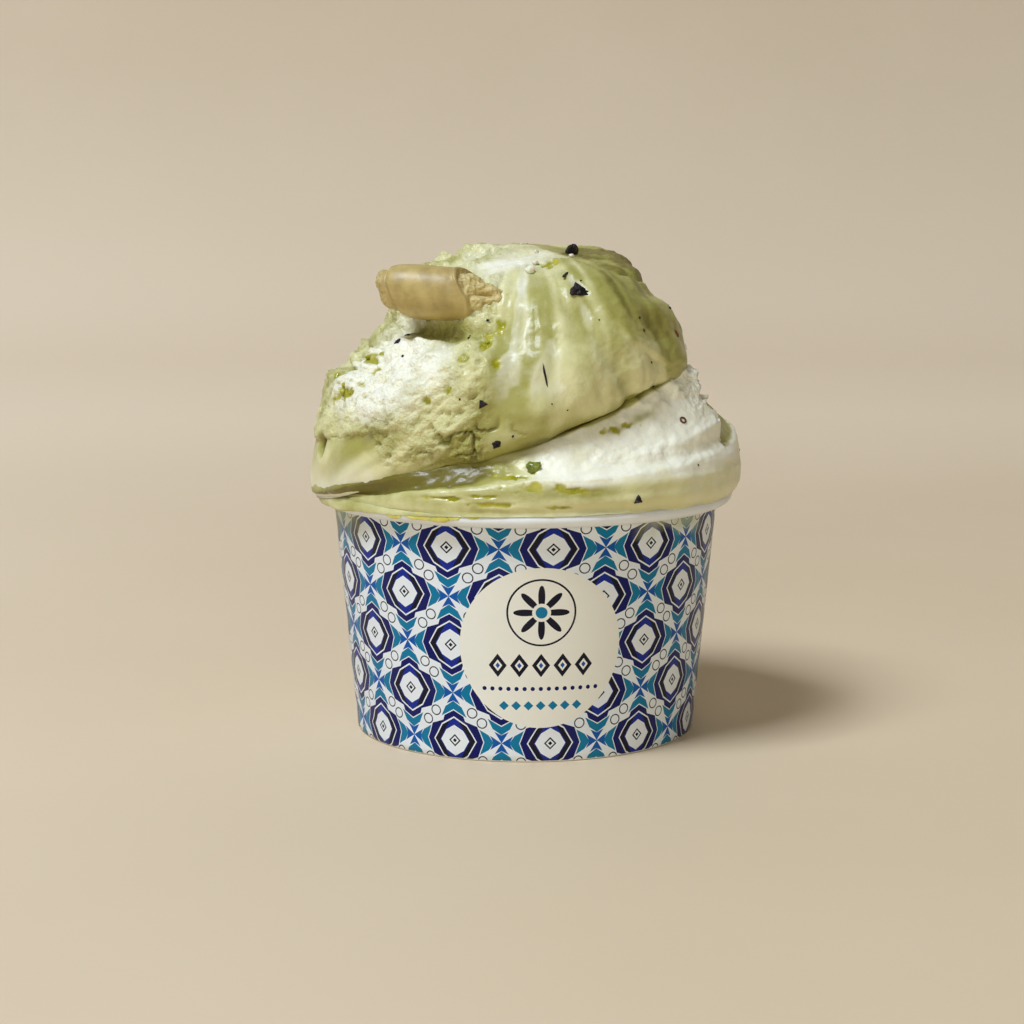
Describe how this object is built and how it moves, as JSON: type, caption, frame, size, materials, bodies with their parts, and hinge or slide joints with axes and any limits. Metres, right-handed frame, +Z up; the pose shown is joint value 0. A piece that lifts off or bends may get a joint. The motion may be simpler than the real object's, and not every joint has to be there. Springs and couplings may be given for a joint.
{
  "type": "gelato cup",
  "caption": "Round tapered paper cup with a rolled rim, filled and heaped with folded pale green gelato, with a rolled chunk of almond paste on top.",
  "frame": {"origin": "on the table under the middle of the cup's foot", "axes": "+Z up, the front of the cup faces -Y, +X to the right seen from the front"},
  "size_m": [0.0935, 0.0908, 0.1055],
  "materials": {
    "printed_board": "satin coated white board printed with navy, blue and teal geometric figures",
    "plain_board": "satin coated white board",
    "gelato": "soft, moist, pale green marbled with white and yellow green",
    "almond_paste": "smooth, slightly waxy tan"
  },
  "bodies": {
    "root": {"cup_wall": "printed_board", "cup_base": "plain_board", "gelato_lower": "gelato", "gelato_upper": "gelato", "almond_chunk": "almond_paste"}
  },
  "joints": []
}
